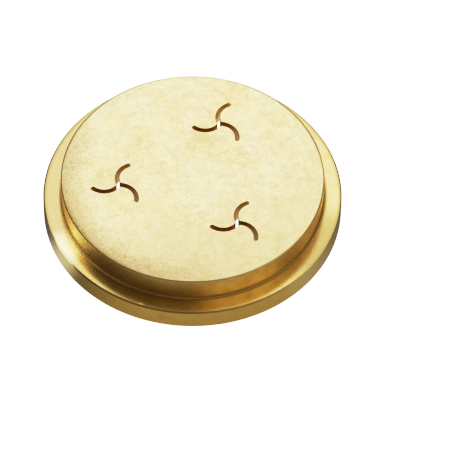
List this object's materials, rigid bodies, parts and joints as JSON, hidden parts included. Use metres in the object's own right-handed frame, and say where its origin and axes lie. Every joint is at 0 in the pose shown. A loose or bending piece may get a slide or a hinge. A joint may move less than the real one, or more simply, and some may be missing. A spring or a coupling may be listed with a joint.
{
  "type": "pasta extrusion die",
  "caption": "Turned brass die for a table-top pasta press: a stepped disc with a seat flange, a hollow back and pinwheel slots through its face that shape dough into spirals.",
  "frame": {"origin": "centre of the seat, the lower face of the flange", "axes": "+Z along the turning axis, out of the outlet face; +Y from the axis through the first outlet"},
  "size_m": [0.0596, 0.0596, 0.0099],
  "materials": {
    "turned_brass": "satin"
  },
  "bodies": {
    "root": {"die_body": "turned_brass"}
  },
  "joints": []
}
